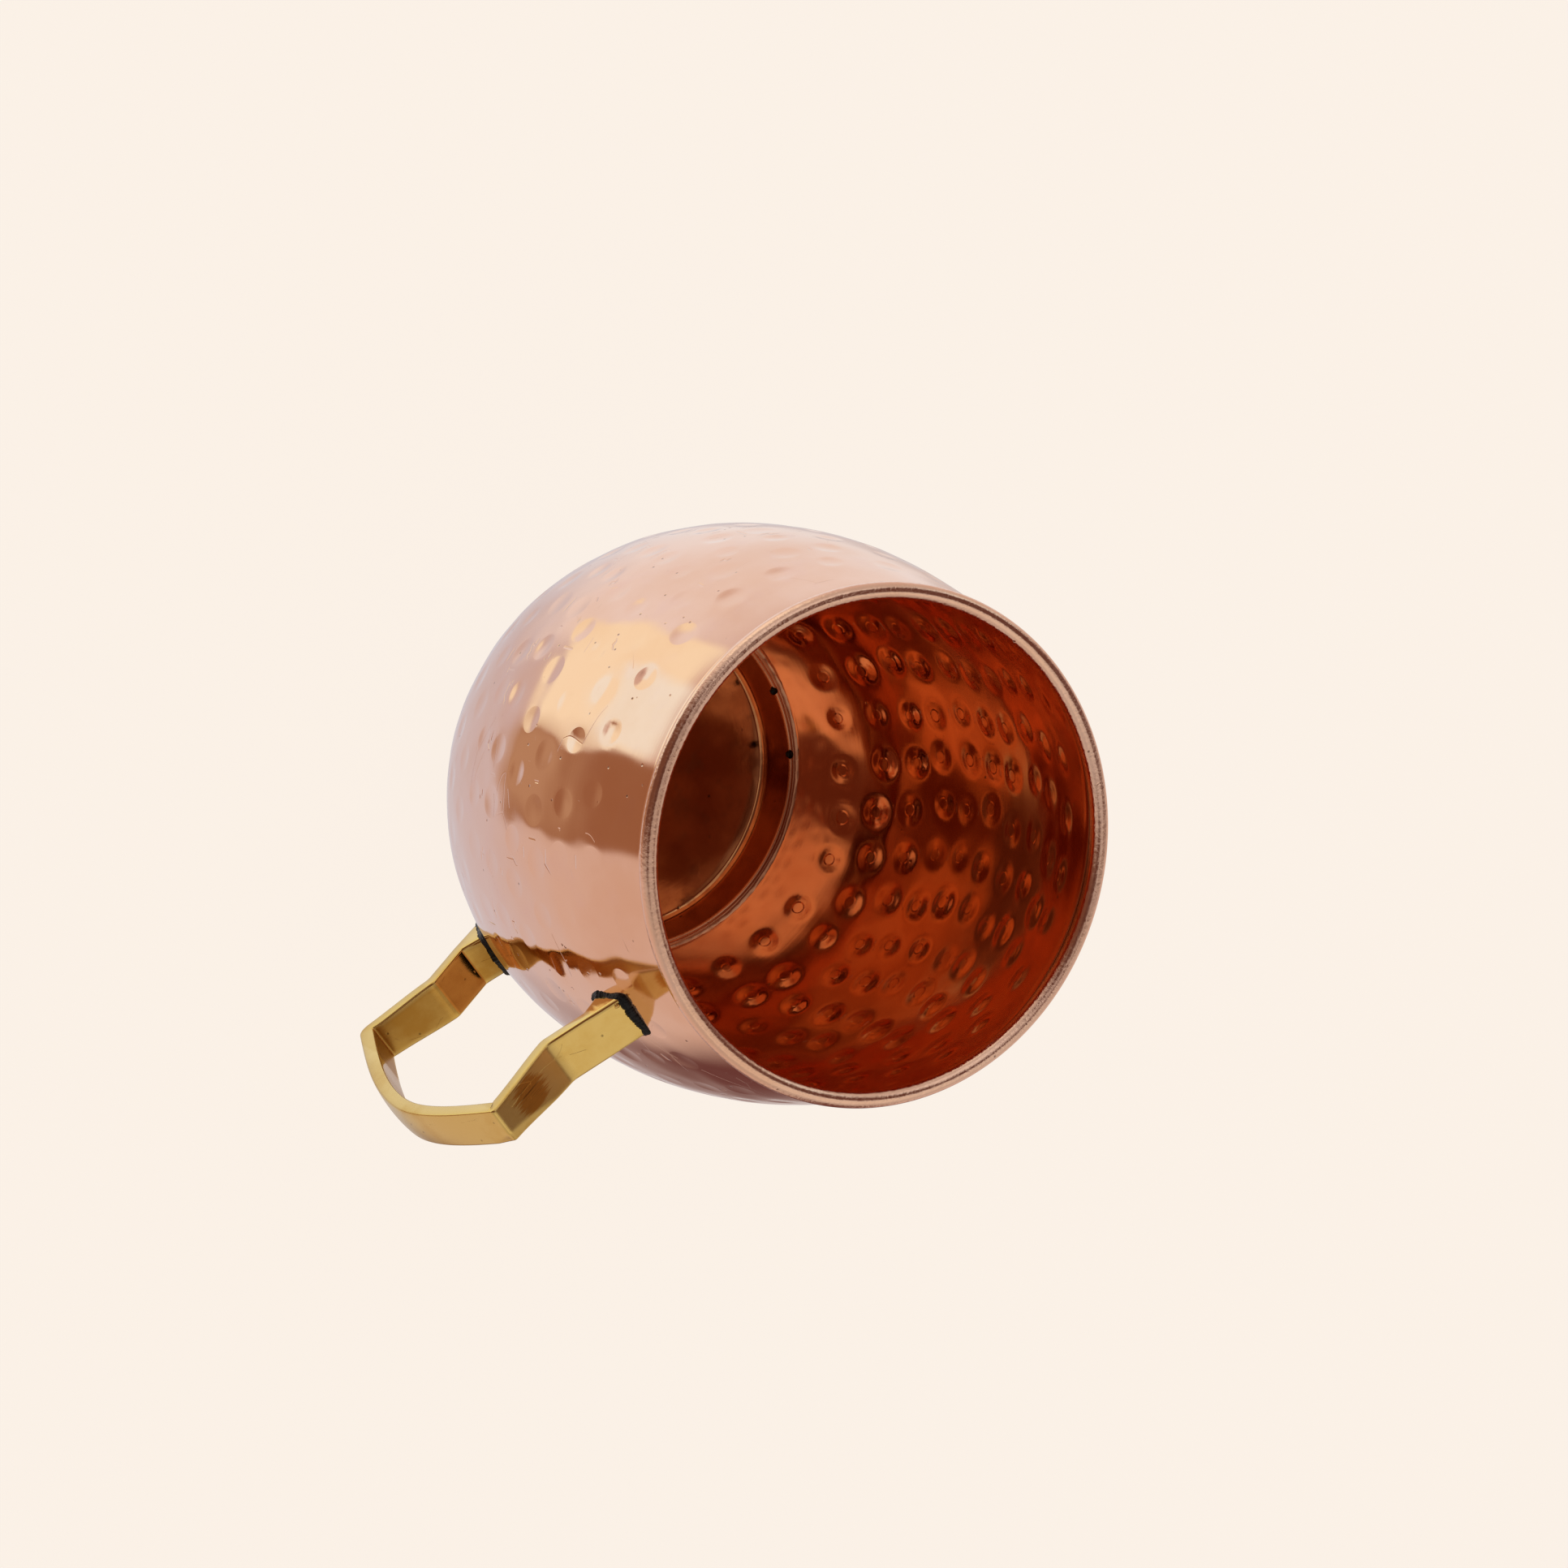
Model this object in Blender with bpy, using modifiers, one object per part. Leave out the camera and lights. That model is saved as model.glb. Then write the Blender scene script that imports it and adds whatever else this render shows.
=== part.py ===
"""A barrel-shaped drinking mug of sheet copper with a brass strap handle.

The mug stands upright on the origin, +Z up. Its handle points along +X.
Outlines are pairs (x, z) in the plane of the handle, in metres.
"""

import math

import bmesh
import bpy
from mathutils import Matrix, Vector
from mathutils.geometry import interpolate_bezier

# Barrel
HEIGHT = 0.095  # from the table to the top of the rim
RIM_DIAMETER = 0.080  # over the rolled bead
BELLY_DIAMETER = 0.0913
BELLY_HEIGHT = 0.052  # where the barrel is widest
SHEET = 0.0010  # thickness of the barrel's copper
BEAD_RADIUS = 0.00135  # of the rolled rim
NECK_SLOPE = 0.33  # how fast the wall closes in under the rim
SHOULDER_SLOPE = 1.0  # how fast the wall closes in at its lower edge

# Base cup, set into the barrel's lower end
CUP_DIAMETER = 0.0602
CUP_HEIGHT = 0.0081
CUP_TAPER = 0.0009  # how far its wall leans in from top to bottom
CUP_SHEET = 0.0010
CUP_CORNER = 0.0014  # inside radius between its wall and floor
EDGE_HEIGHT = 0.0060  # of the barrel's lower edge above the table

# Handle, a bent strap
STRAP_WIDTH = 0.0076
LOOP_WIDTH = 0.0064
STRAP_THICKNESS = 0.0025
STRAP_EDGE = 0.00035  # softened edge along the strap
LOOP_CROWN = 0.0003  # how much the loop's outer face is domed
UPPER_FOOT_DROP = 0.0160  # from the rim's top down to the upper foot
LOWER_FOOT_RISE = 0.0184  # from the table up to the lower foot
STRAP_TILT = 2.2  # degrees that the handle leans out at its top
BEND_REACH = 0.0130  # from the wall out to the bend
BEND_INSET = 0.0050  # of the bend, towards the handle's middle
CORNER_REACH = 0.0264  # from the wall out to the corner
CORNER_INSET = 0.0009
LOOP_REACH = 0.0343  # from the wall out to the loop's furthest point
LOOP_PEAK = 0.0040  # height of that point above the handle's middle
FOOT_DEPTH = 0.0078  # of the flared foot where it meets the wall
FLARE_LENGTH = 0.0065

# Brazed joints
UPPER_SEAM_MARGIN = 0.0009  # how far the seam spreads round the foot
LOWER_SEAM_MARGIN = 0.0004
SEAM_CORNER = 0.0018
SEAM_THICKNESS = 0.0009
FILLET = 0.0013  # leg of the ring under the barrel's edge

GAP = 0.0003  # clearance between pieces that touch
ROUND_STEPS = 64
CURVE_STEPS = 10

COPPER = ("polished_copper", (0.83, 0.43, 0.28), 0.22, 1.0)
BRASS = ("polished_brass", (0.72, 0.50, 0.19), 0.22, 1.0)
FLUX = ("burnt_flux", (0.02, 0.018, 0.017), 0.55, 0.0)


def clear_scene():
    for obj in list(bpy.data.objects):
        bpy.data.objects.remove(obj, do_unlink=True)


def new_collection(name):
    collection = bpy.data.collections.new(name)
    bpy.context.scene.collection.children.link(collection)
    return collection


def metal(name, colour, roughness, metallic):
    material = bpy.data.materials.new(name)
    material.use_nodes = True
    shader = material.node_tree.nodes["Principled BSDF"]
    shader.inputs["Base Color"].default_value = (*colour, 1.0)
    shader.inputs["Roughness"].default_value = roughness
    shader.inputs["Metallic"].default_value = metallic
    return material


def smooth_shade(mesh, angle=30.0):
    mesh.shade_smooth()
    mesh.set_sharp_from_angle(angle=math.radians(angle))


def place(name, mesh, collection, material=None):
    obj = bpy.data.objects.new(name, mesh)
    collection.objects.link(obj)
    if material:
        mesh.materials.append(material)
    return obj


def hide_cutter(obj):
    obj.hide_render = True
    obj.display_type = "WIRE"
    return obj


# Outlines


def bezier(start, start_handle, end_handle, end, steps=CURVE_STEPS):
    knots = [Vector((x, z, 0.0)) for x, z in (start, start_handle, end_handle, end)]
    return [(point.x, point.y) for point in interpolate_bezier(*knots, steps)]


def arc(centre, radius, start, end, steps):
    angles = [math.radians(start + (end - start) * i / steps) for i in range(steps + 1)]
    return [(centre[0] + radius * math.cos(a), centre[1] + radius * math.sin(a)) for a in angles]


def offset(outline, distance):
    """The outline moved sideways by a distance, to its right hand side."""
    moved = []
    last = len(outline) - 1
    for i, point in enumerate(outline):
        here = Vector(point)
        before = here - Vector(outline[max(i - 1, 0)])
        after = Vector(outline[min(i + 1, last)]) - here
        before = before.normalized() if before.length else after.normalized()
        after = after.normalized() if after.length else before
        side = Vector((before.y + after.y, -before.x - after.x)).normalized()
        stretch = side.dot(Vector((after.y, -after.x)))
        moved.append(tuple(here + side * distance / stretch))
    return moved


def barrel_outside():
    """The barrel's outer wall, from the crease under the bead down to its lower edge."""
    belly = BELLY_DIAMETER / 2
    crease = (RIM_DIAMETER / 2 - BEAD_RADIUS, HEIGHT - 2 * BEAD_RADIUS)
    edge = (CUP_DIAMETER / 2 + GAP, EDGE_HEIGHT)
    upper = (crease[1] - BELLY_HEIGHT) / 3
    lower = BELLY_HEIGHT - EDGE_HEIGHT
    neck = bezier(
        crease,
        (crease[0] + NECK_SLOPE * upper, crease[1] - upper),
        (belly, BELLY_HEIGHT + upper),
        (belly, BELLY_HEIGHT),
    )
    shoulder = bezier(
        (belly, BELLY_HEIGHT),
        (belly, BELLY_HEIGHT - lower * 0.48),
        (edge[0] + SHOULDER_SLOPE * lower * 0.19, edge[1] + lower * 0.19),
        edge,
    )
    return neck + shoulder[1:]


def radius_at(height, clearance=0.0):
    """Outer radius of the barrel at a height, plus a clearance off the wall."""
    wall = offset(barrel_outside(), -clearance)
    for (r1, z1), (r2, z2) in zip(wall, wall[1:]):
        if z2 <= height <= z1:
            return r1 + (r2 - r1) * (z1 - height) / (z1 - z2)
    return wall[0][0] if height > wall[0][1] else wall[-1][0]


def barrel_inside():
    """The barrel's inner wall from top to bottom, cut off square to the cup's wall."""
    wall = offset(barrel_outside(), SHEET)
    limit = CUP_DIAMETER / 2 + GAP
    kept = []
    for point in wall:
        if point[0] < limit and point[1] < BELLY_HEIGHT:
            above = kept[-1]
            share = (above[0] - limit) / (above[0] - point[0])
            kept.append((limit, above[1] + (point[1] - above[1]) * share))
            break
        kept.append(point)
    return kept


# Turned pieces


def turned(name, outline, collection, material=None, closed=True):
    """A solid of revolution about Z from an outline that runs down its outer side."""
    mesh = bpy.data.meshes.new(name)
    bm = bmesh.new()
    verts = [bm.verts.new((x, 0.0, z)) for x, z in outline]
    for a, b in zip(verts, verts[1:]):
        bm.edges.new((a, b))
    if closed:
        bm.edges.new((verts[-1], verts[0]))
    bm.to_mesh(mesh)
    bm.free()
    obj = place(name, mesh, collection, material)
    screw = obj.modifiers.new("Turn", "SCREW")
    screw.steps = ROUND_STEPS
    screw.render_steps = ROUND_STEPS
    screw.use_merge_vertices = True
    screw.merge_threshold = 0.00001
    screw.use_smooth_shade = True
    return obj


def make_body_shell(collection, material):
    outside = barrel_outside()
    inside = barrel_inside()
    bead_centre = (RIM_DIAMETER / 2 - BEAD_RADIUS, HEIGHT - BEAD_RADIUS)
    bead = arc(bead_centre, BEAD_RADIUS, 180.0, -90.0, 9)
    outline = outside + inside[:0:-1] + bead[:-1]
    return turned("body_shell", outline, collection, material)


def make_base_cup(collection, material):
    rim = CUP_DIAMETER / 2
    foot = rim - CUP_TAPER
    lip = CUP_SHEET / 2
    outer_corner = CUP_CORNER + CUP_SHEET
    taper = math.degrees(math.atan2(CUP_TAPER, CUP_HEIGHT))
    lip_arc = arc((rim - lip, CUP_HEIGHT - lip), lip, 180.0, 0.0, 6)
    heel = arc((foot - outer_corner, outer_corner), outer_corner, -taper, -90.0, 5)
    toe = arc((foot - outer_corner, outer_corner), CUP_CORNER, -90.0, -taper, 5)
    outline = lip_arc + heel + [(0.0, 0.0), (0.0, CUP_SHEET)] + toe
    return turned("base_cup", outline, collection, material)


def cup_radius_at(height):
    """Outer radius of the cup's leaning wall."""
    return CUP_DIAMETER / 2 - CUP_TAPER * (1.0 - height / CUP_HEIGHT)


def make_base_braze(collection, material):
    """A hollow-faced fillet in the corner between the barrel's edge and the cup's wall."""
    under = Vector(offset(barrel_outside(), -GAP)[-1])
    top = under + Vector((1.0, SHOULDER_SLOPE)).normalized() * FILLET
    corner = Vector((cup_radius_at(under.y) + GAP, under.y - GAP))
    toe = Vector((cup_radius_at(corner.y - FILLET) + GAP, corner.y - FILLET))
    face = bezier(top, (top + under) / 2, (toe + corner) / 2, toe, 4)
    return turned("base_braze", face + [tuple(corner), tuple(under)], collection, material)


def make_wall_block(name, clearance, collection):
    """A solid barrel that stands off the real one by a clearance, used to trim pieces."""
    wall = offset(barrel_outside(), -clearance)
    outline = [(0.0, wall[0][1])] + wall + [(0.0, wall[-1][1])]
    return hide_cutter(turned(name, outline, collection, closed=False))


def trim(obj, cutter, operation):
    boolean = obj.modifiers.new(cutter.name, "BOOLEAN")
    boolean.operation = operation
    boolean.object = cutter


# Handle


def handle_frame():
    """Places the handle's own frame, x out from the wall, and its reach to each foot."""
    high = HEIGHT - UPPER_FOOT_DROP
    low = LOWER_FOOT_RISE
    middle = Matrix.Translation(((radius_at(high) + radius_at(low)) / 2, 0.0, (high + low) / 2))
    return middle @ Matrix.Rotation(math.radians(STRAP_TILT), 4, "Y"), (high - low) / 2


def strap_arm(reach):
    """The upper arm's outer face, from inside the wall to the bend and the corner."""
    rise = BEND_INSET / BEND_REACH
    arm = [(x, reach - rise * x) for x in (-FOOT_DEPTH, 0.0, FLARE_LENGTH / 2, FLARE_LENGTH)]
    return arm + [(BEND_REACH, reach - BEND_INSET), (CORNER_REACH, reach - CORNER_INSET)]


def strap_loop(corner_height):
    """The loop's outer face between one corner and its furthest point."""
    span = corner_height - LOOP_PEAK
    bulge = LOOP_REACH - CORNER_REACH
    return bezier(
        (CORNER_REACH, corner_height),
        (CORNER_REACH + 0.66 * bulge, LOOP_PEAK + 0.57 * span),
        (LOOP_REACH, LOOP_PEAK + 0.28 * span),
        (LOOP_REACH, LOOP_PEAK),
    )


def strap_outside(reach):
    """The strap's whole outer face, from its upper foot round to its lower foot."""
    arm = strap_arm(reach)
    corner = arm[-1][1]
    lower_arm = [(x, -z) for x, z in reversed(arm)]
    return arm + strap_loop(corner)[1:] + strap_loop(-corner)[-2:0:-1] + lower_arm


def strap_sections(reach):
    """Stations along the strap: outer point, inner point, width and crown."""
    outside = strap_outside(reach)
    inside = offset(outside, STRAP_THICKNESS)
    stations = []
    for outer, inner in zip(outside, inside):
        flare = max(0.0, 1.0 - max(outer[0], 0.0) / FLARE_LENGTH)
        depth = (FOOT_DEPTH - STRAP_THICKNESS) * flare
        inner = (inner[0], inner[1] - math.copysign(depth, outer[1]))
        share = (outer[0] - BEND_REACH) / (CORNER_REACH - BEND_REACH)
        share = min(max(share, 0.0), 1.0)
        width = STRAP_WIDTH + (LOOP_WIDTH - STRAP_WIDTH) * share
        bulge = max(0.0, outer[0] - CORNER_REACH) / (LOOP_REACH - CORNER_REACH)
        stations.append((outer, inner, width, LOOP_CROWN * bulge))
    return stations


def strap_ring(outer, inner, width, crown):
    """Points round the strap's section, starting on its outer face."""
    half = width / 2
    face = half - STRAP_EDGE
    across = [-face, -face / 2, 0.0, face / 2, face]
    ring = [(y, crown * (y / half) ** 2) for y in across]
    ring += [(half, crown + STRAP_EDGE), (half, STRAP_THICKNESS - STRAP_EDGE)]
    ring += [(face, STRAP_THICKNESS), (-face, STRAP_THICKNESS)]
    ring += [(-half, STRAP_THICKNESS - STRAP_EDGE), (-half, crown + STRAP_EDGE)]
    points = []
    for y, depth in ring:
        share = depth / STRAP_THICKNESS
        x = outer[0] + (inner[0] - outer[0]) * share
        z = outer[1] + (inner[1] - outer[1]) * share
        points.append(Vector((x, y, z)))
    return points


def make_handle(collection, material, cutter):
    frame, reach = handle_frame()
    mesh = bpy.data.meshes.new("handle")
    bm = bmesh.new()
    rings = [[bm.verts.new(p) for p in strap_ring(*station)] for station in strap_sections(reach)]
    for ring, following in zip(rings, rings[1:]):
        for i in range(len(ring)):
            j = (i + 1) % len(ring)
            bm.faces.new((ring[i], ring[j], following[j], following[i]))
    bm.faces.new(rings[0])
    bm.faces.new(rings[-1])
    bmesh.ops.recalc_face_normals(bm, faces=bm.faces)
    bm.to_mesh(mesh)
    bm.free()
    smooth_shade(mesh)
    obj = place("handle", mesh, collection, material)
    obj.matrix_world = frame
    trim(obj, cutter, "DIFFERENCE")
    return obj


def make_seam(name, side, margin, collection, material, near, far):
    """Filler round a foot: a rounded plug, kept between two layers off the wall."""
    frame, reach = handle_frame()
    mesh = bpy.data.meshes.new(name)
    bm = bmesh.new()
    bmesh.ops.create_cube(bm, size=1.0)
    size = (FOOT_DEPTH, STRAP_WIDTH + 2 * margin, FOOT_DEPTH + 2 * margin)
    bmesh.ops.scale(bm, vec=size, verts=bm.verts)
    along = [edge for edge in bm.edges if abs(edge.verts[0].co.x - edge.verts[1].co.x) > 0.001]
    bmesh.ops.bevel(
        bm, geom=along, offset=SEAM_CORNER, segments=5, profile=0.5, affect="EDGES"
    )
    bm.to_mesh(mesh)
    bm.free()
    smooth_shade(mesh)
    obj = place(name, mesh, collection, material)
    obj.matrix_world = frame @ Matrix.Translation((0.0, 0.0, side * (reach - FOOT_DEPTH / 2)))
    trim(obj, far, "INTERSECT")
    trim(obj, near, "DIFFERENCE")
    return obj


def main():
    clear_scene()
    mug = new_collection("copper_mug")
    cutters = new_collection("cutters")
    copper = metal(*COPPER)
    brass = metal(*BRASS)
    flux = metal(*FLUX)

    make_body_shell(mug, copper)
    make_base_cup(mug, copper)
    make_base_braze(mug, flux)

    near = make_wall_block("near_wall", GAP, cutters)
    far = make_wall_block("far_wall", GAP + SEAM_THICKNESS, cutters)
    clear = make_wall_block("clear_wall", 2 * GAP + SEAM_THICKNESS, cutters)
    make_handle(mug, brass, clear)
    make_seam("upper_braze", 1.0, UPPER_SEAM_MARGIN, mug, flux, near, far)
    make_seam("lower_braze", -1.0, LOWER_SEAM_MARGIN, mug, flux, near, far)


main()
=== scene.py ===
"""A hammered copper mug with a brass strap handle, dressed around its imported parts.

The mug stands on the floor at the origin, +Z up, with its handle towards +X.
Outlines are rows of (x, z) in the plane of the handle. All lengths are in metres.
"""

import math
import random

import bpy
import numpy as np
from mathutils import Matrix, Vector, noise


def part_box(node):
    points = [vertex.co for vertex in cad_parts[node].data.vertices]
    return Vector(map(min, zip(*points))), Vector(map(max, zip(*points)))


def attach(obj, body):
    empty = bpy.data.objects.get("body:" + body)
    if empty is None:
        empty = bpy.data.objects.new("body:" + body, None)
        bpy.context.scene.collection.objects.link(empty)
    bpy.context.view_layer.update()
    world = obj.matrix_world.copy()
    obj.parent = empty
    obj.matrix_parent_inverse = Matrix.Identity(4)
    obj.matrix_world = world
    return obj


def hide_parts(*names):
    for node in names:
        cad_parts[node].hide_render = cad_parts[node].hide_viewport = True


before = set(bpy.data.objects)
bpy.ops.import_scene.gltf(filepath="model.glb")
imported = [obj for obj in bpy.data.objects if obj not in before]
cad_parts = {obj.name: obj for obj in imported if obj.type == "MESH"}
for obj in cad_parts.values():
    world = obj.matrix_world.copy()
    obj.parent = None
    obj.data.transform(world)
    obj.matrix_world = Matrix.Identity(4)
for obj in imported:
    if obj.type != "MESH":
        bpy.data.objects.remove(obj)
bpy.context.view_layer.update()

BODY_LOW, BODY_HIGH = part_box("body_shell")
CUP_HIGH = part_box("base_cup")[1]

# Barrel
HEIGHT = BODY_HIGH.z
BELLY_RADIUS = BODY_HIGH.y
EDGE_HEIGHT = BODY_LOW.z  # of the barrel's lower edge above the table
RIM_RADIUS = 0.040  # over the rolled bead
BELLY_HEIGHT = 0.052  # where the barrel is widest
SHEET = 0.0010
BEAD_RADIUS = 0.00135
GROOVE_TURN = 80.0  # where on the bead its fine groove runs, in degrees up from level
GROOVE_WIDTH = 7.0
GROOVE_DEPTH = 0.00003
NECK_SLOPE = 0.33
SHOULDER_SLOPE = 1.0
GAP = 0.0003  # between the barrel and what is set into it

# Base cup
CUP_RADIUS = CUP_HIGH.y
CUP_HEIGHT = CUP_HIGH.z
FOOT_RADIUS = 0.0292
CUP_SHEET = 0.0010
CUP_CORNER = 0.0014
FILLET = 0.0013  # leg of the braze under the barrel's edge
FILLET_LUMPS = 0.004  # how uneven the braze is, as a share of its distance from the axis
LIP_BRAZE = 0.0009  # depth of the filler behind the cup's lip
LIP_BRAZE_LUMPS = 0.00008
SPECK_TURNS = (146.7, 169.7)  # where burnt flux was left on the lip, in degrees
SPECK_SIZES = (0.0007, 0.0007, 0.0003)

# Handle
STRAP_WIDTH = 0.0076
LOOP_WIDTH = 0.0064
STRAP_THICKNESS = 0.0025
STRAP_EDGE = 0.00035
LOOP_CROWN = 0.0003
UPPER_FOOT_DROP = 0.0160  # from the rim's top down to the upper foot
LOWER_FOOT_RISE = 0.0184  # from the table up to the lower foot
STRAP_TILT = 2.2  # degrees that the handle leans out at its top
BEND_REACH = 0.0130
BEND_INSET = 0.0050
CORNER_REACH = 0.0264
CORNER_INSET = 0.0009
LOOP_REACH = 0.03425
LOOP_PEAK = 0.0040
FOOT_DEPTH = 0.0078
FLARE_LENGTH = 0.0065

# Hammer marks
MARK_SEED = 7
DIMPLE_RADIUS = 0.0025
DIMPLE_DEPTH = 0.00013
LOWEST_ROW = 0.0148  # height of the lowest row of marks
ROW_RISE = 0.00730  # from one row to the next
ROWS = 10
ROW_START = 170.0  # angle where each row was begun, in degrees
FULLEST_ROW = 4.6  # the row with the most marks
MOST_MARKS = 34
MARKS_LOST = 0.33  # how fast the rows thin out above and below the fullest
DISH_CURVE = 1.15
MARK_REACH = 1.6  # how far round a mark its place is kept, with its radius as one
BUMP_SPREAD = 1.25  # how much wider a mark stands on the inside
BUMP_GAIN = 2.0  # and how much taller
TIP_SHARE = 0.38  # flat centre that the hammer's tip left, as a share of the bump
SWAY = 0.00022  # how far the hammered wall wanders inward between marks
SWAY_FINENESS = 105.0
SHY_ANGLE = 42.0  # degrees either side of the handle where the blows were light
SHY_BLEND = 12.0
LIGHT_BLOW = 0.25  # share of the full depth beside the handle
LOWEST_BLOW = 0.55  # share of the full depth along the lowest row

# Fineness of the meshes
TURN_STEPS = 360
CUP_STEPS = 240
BRAZE_STEPS = 300
MARK_SPACING = 0.00072  # between rings where the wall is hammered
PLAIN_SPACING = 0.0013

# Finer shapes of the handle and its seams
FACE_STEPS = 16
INNER_FACE = 0.690  # where the inner face lies round the strap, its whole way round being one
INNER_FACE_HALF = 0.105
STRAP_SPACING = 0.00028
CRISP_BEND = 2  # neighbours averaged where the strap bends sharply
SOFT_BEND = 7  # and at the rounder lower corner
GROUND_EDGE = 0.0017  # width of the ground edge beside the upper corner
GROUND_SLOPE = 0.30
FOOT_CORNER = 0.0009
FOOT_SINK = 0.0005  # how far the feet reach into the wall
SEAM_STEPS = 220
SEAM_BED = 0.0003  # how far the seams' filler reaches into the wall
SEAM_BACK = 0.0007  # and in under the foot's edge

# Camera
CAMERA_AIM = (0.00428, -0.01487, 0.08594)
CAMERA_DISTANCE = 0.610
CAMERA_BEARING = 35.88  # degrees round from -Y towards +X
CAMERA_RISE = 61.46
CAMERA_ROLL = 105.41
CAMERA_LENS = 93.17

BACKDROP = (0.982, 0.896, 0.812, 1.0)
FLOOR_HALF = 3.0
FLOOR_GLOW = 0.96

random.seed(MARK_SEED)


# Outlines


def bezier(start, start_handle, end_handle, end, steps):
    t = np.linspace(0.0, 1.0, steps + 1)[:, None]
    a, b, c, d = (np.array(p) for p in (start, start_handle, end_handle, end))
    return (1 - t) ** 3 * a + 3 * t * (1 - t) ** 2 * b + 3 * t**2 * (1 - t) * c + t**3 * d


def arc(centre, radius, start, end, steps):
    angles = np.radians(np.linspace(start, end, steps + 1))
    return np.column_stack((centre[0] + radius * np.cos(angles), centre[1] + radius * np.sin(angles)))


def lengths(outline):
    """Distance along an outline to each of its points."""
    steps = np.linalg.norm(np.diff(outline, axis=0), axis=1)
    return np.concatenate(([0.0], np.cumsum(steps)))


def right_hand(outline):
    """Unit vectors to the right of an outline, and their stretch at its corners."""
    legs = np.diff(outline, axis=0)
    legs /= np.linalg.norm(legs, axis=1)[:, None]
    before = np.vstack((legs[:1], legs))
    after = np.vstack((legs, legs[-1:]))
    side = np.column_stack((before[:, 1] + after[:, 1], -before[:, 0] - after[:, 0]))
    side /= np.linalg.norm(side, axis=1)[:, None]
    stretch = side[:, 0] * after[:, 1] - side[:, 1] * after[:, 0]
    return side, stretch


def offset(outline, distance):
    side, stretch = right_hand(outline)
    return outline + side * (distance / stretch)[:, None]


def smooth_share(value, low, high):
    """Rises from nothing at low to one at high, with soft ends."""
    share = min(max((value - low) / (high - low), 0.0), 1.0)
    return share * share * (3.0 - 2.0 * share)


def barrel_outside():
    """The barrel's outer wall from the crease under the bead down, closely spaced."""
    crease = (RIM_RADIUS - BEAD_RADIUS, HEIGHT - 2 * BEAD_RADIUS)
    edge = (CUP_RADIUS + GAP, EDGE_HEIGHT)
    upper = (crease[1] - BELLY_HEIGHT) / 3
    lower = BELLY_HEIGHT - EDGE_HEIGHT
    neck = bezier(
        crease,
        (crease[0] + NECK_SLOPE * upper, crease[1] - upper),
        (BELLY_RADIUS, BELLY_HEIGHT + upper),
        (BELLY_RADIUS, BELLY_HEIGHT),
        400,
    )
    shoulder = bezier(
        (BELLY_RADIUS, BELLY_HEIGHT),
        (BELLY_RADIUS, BELLY_HEIGHT - lower * 0.48),
        (edge[0] + SHOULDER_SLOPE * lower * 0.19, edge[1] + lower * 0.19),
        edge,
        400,
    )
    return np.vstack((neck, shoulder[1:]))


WALL = barrel_outside()


def radius_at(height):
    """Outer radius of the barrel at a height."""
    return float(np.interp(height, WALL[::-1, 1], WALL[::-1, 0]))


def wall_stations():
    """The wall's points, close together where it is hammered."""
    along = lengths(WALL)
    top = LOWEST_ROW + (ROWS - 1) * ROW_RISE + 1.5 * DIMPLE_RADIUS
    first = np.interp(-top, -WALL[:, 1], along)
    last = np.interp(-(LOWEST_ROW - 1.3 * DIMPLE_RADIUS), -WALL[:, 1], along)
    stops = np.concatenate(
        [
            np.linspace(0.0, first, round(first / PLAIN_SPACING) + 1)[:-1],
            np.linspace(first, last, round((last - first) / MARK_SPACING) + 1),
            np.linspace(last, along[-1], round((along[-1] - last) / PLAIN_SPACING) + 1)[1:],
        ]
    )
    return np.column_stack([np.interp(stops, along, WALL[:, i]) for i in (0, 1)]), stops


# Meshes


def grid_mesh(name, points, material, caps=False, across_closed=True):
    """A mesh over closed rings of points, with the rings joined in a tube or a torus."""
    rings, around = points.shape[:2]
    index = np.arange(rings * around).reshape(rings, around)
    last = rings if across_closed else rings - 1
    i = np.repeat(np.arange(last), around)
    j = np.tile(np.arange(around), last)
    i2 = (i + 1) % rings
    j2 = (j + 1) % around
    faces = np.column_stack((index[i, j], index[i, j2], index[i2, j2], index[i2, j]))
    corners = faces.tolist()
    if caps:
        corners += [index[0][::-1].tolist(), index[-1].tolist()]
    mesh = bpy.data.meshes.new(name)
    mesh.from_pydata(points.reshape(-1, 3).tolist(), [], corners)
    layer = mesh.uv_layers.new(name="OFBake")
    u = np.column_stack((j, j + 1, j + 1, j)) / around
    v = np.column_stack((i, i, i + 1, i + 1)) / last
    flat = np.zeros((len(mesh.loops), 2))
    flat[: 4 * len(faces)] = np.column_stack((u.ravel(), v.ravel()))
    layer.data.foreach_set("uv", flat.ravel())
    mesh.shade_smooth()
    mesh.materials.append(material)
    obj = bpy.data.objects.new(name, mesh)
    bpy.context.scene.collection.objects.link(obj)
    return obj


def spun(outline, steps=TURN_STEPS):
    """Rings of points from an outline turned about Z."""
    angles = np.linspace(0.0, 2 * math.pi, steps, endpoint=False)
    x = outline[:, 0][:, None] * np.cos(angles)
    y = outline[:, 0][:, None] * np.sin(angles)
    z = np.repeat(outline[:, 1][:, None], steps, axis=1)
    return np.stack((x, y, z), axis=2)


def fit(piece, node):
    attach(piece, "root")
    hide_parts(node)
    return piece


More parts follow.
